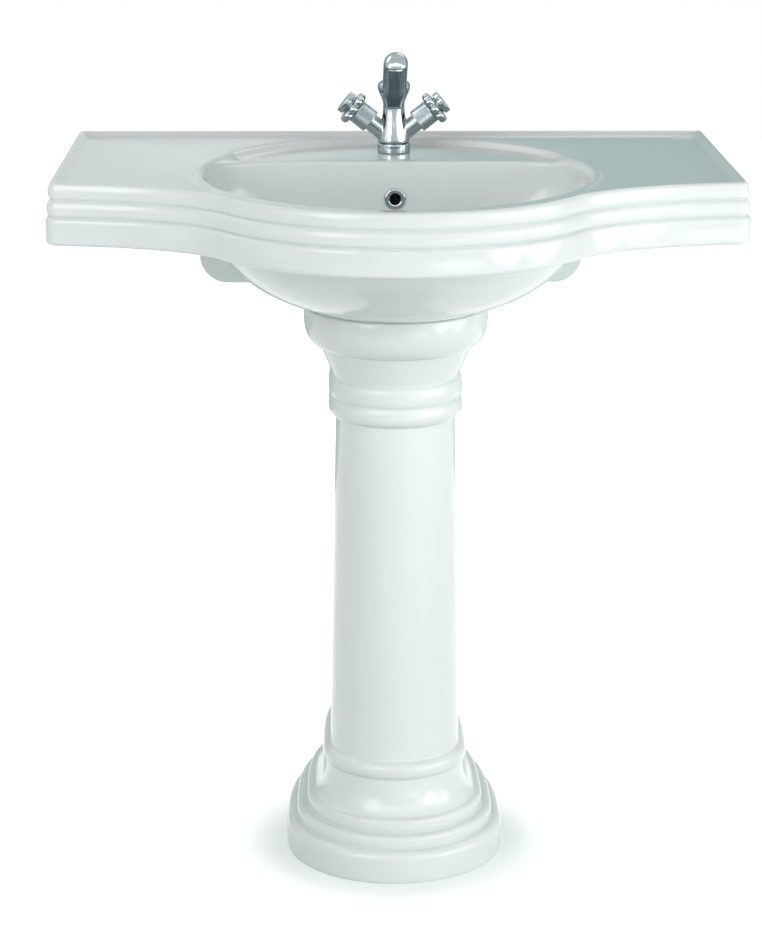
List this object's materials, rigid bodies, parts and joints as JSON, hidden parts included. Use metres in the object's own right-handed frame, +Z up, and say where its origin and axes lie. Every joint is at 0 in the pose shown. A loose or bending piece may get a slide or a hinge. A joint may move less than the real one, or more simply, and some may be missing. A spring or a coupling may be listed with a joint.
{
  "type": "pedestal basin",
  "caption": "Bow-fronted ceramic basin with a moulded apron on a turned hollow pedestal, with a two-handled tap, pop-up waste and bottle trap.",
  "frame": {"origin": "on the floor, at the centre of the box that the whole object fills", "axes": "+Z up; the bowed front faces -Y and the flat back, which stands against the wall, faces +Y; +X is on the right of someone facing the basin"},
  "size_m": [0.814, 0.613, 1.003],
  "materials": {
    "ceramic": "glossy white glaze",
    "chrome": "polished",
    "brass": "machined",
    "steel": "plain",
    "rubber": "matt",
    "plastic": "matt"
  },
  "bodies": {
    "fixed": {"basin": "ceramic", "pedestal": "ceramic", "mixer_body": "chrome", "aerator_housing": "chrome", "mixer_base_ring": "chrome", "waste_body": "chrome", "overflow_ring": "chrome", "trap_inlet_nut": "chrome", "trap_body": "chrome", "trap_cup": "chrome", "trap_outlet_nut": "chrome", "trap_outlet_pipe": "chrome", "wall_flange": "chrome", "hot_valve_cartridge": "brass", "cold_valve_cartridge": "brass", "mixer_stud": "brass", "mixer_nut": "brass", "hot_inlet_tail": "brass", "cold_inlet_tail": "brass", "waste_back_nut": "brass", "clamp_plate": "steel", "mixer_base_seal": "rubber", "clamp_rubber": "rubber", "waste_flange_seal": "rubber", "waste_washer": "rubber", "trap_washer": "rubber", "trap_cup_seal": "rubber", "aerator_insert": "plastic"},
    "hot_handle": {"hot_handle_barrel": "chrome", "hot_handle_grip": "chrome", "hot_handle_cap": "chrome", "hot_handle_screw": "steel", "hot_spindle": "brass"},
    "cold_handle": {"cold_handle_barrel": "chrome", "cold_handle_grip": "chrome", "cold_handle_cap": "chrome", "cold_handle_screw": "steel", "cold_spindle": "brass"},
    "plug": {"waste_plug": "chrome"}
  },
  "joints": [
    {"name": "hot_handle_turn", "type": "hinge", "parent": "fixed", "child": "hot_handle", "pos_m": [0, 0.1735, 0.883], "axis": [-0.7826, 0, 0.6225], "range_deg": [0, 90]},
    {"name": "cold_handle_turn", "type": "hinge", "parent": "fixed", "child": "cold_handle", "pos_m": [0, 0.1735, 0.883], "axis": [0.7826, 0, 0.6225], "range_deg": [0, 90]},
    {"name": "plug_press", "type": "slide", "parent": "fixed", "child": "plug", "axis": [0, 0, 1], "range_m": [-0.0047, 0]}
  ]
}
